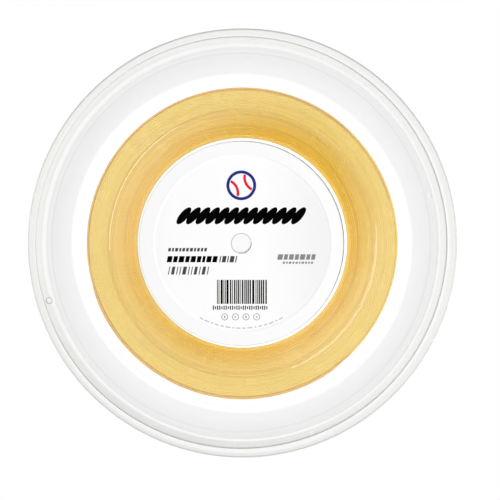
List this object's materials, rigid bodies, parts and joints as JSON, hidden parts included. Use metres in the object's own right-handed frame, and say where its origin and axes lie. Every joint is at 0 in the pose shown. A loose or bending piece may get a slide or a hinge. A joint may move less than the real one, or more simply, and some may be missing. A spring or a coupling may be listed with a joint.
{
  "type": "racket string reel",
  "caption": "Reel of racket string: clear stepped flanges on a white ribbed hub, filled with golden string and marked with a round label.",
  "frame": {"origin": "centre of the rear rim's face, on the reel's axis, with the reel lying on its rear flange", "axes": "+Z along the reel's axis from the rear flange to the labelled front flange, +Y towards the top of the label's print, +X to the right of the print"},
  "size_m": [0.27, 0.27, 0.031],
  "materials": {
    "clear_plastic": "clear moulded polystyrene, polished",
    "white_plastic": "white moulded polystyrene, semi-matt",
    "string": "golden translucent nylon string, glossy",
    "label": "printed film label, soft gloss"
  },
  "bodies": {
    "root": {"front_flange": "clear_plastic", "rear_flange": "clear_plastic", "hub": "white_plastic", "string_winding": "string", "front_label": "label"}
  },
  "joints": []
}
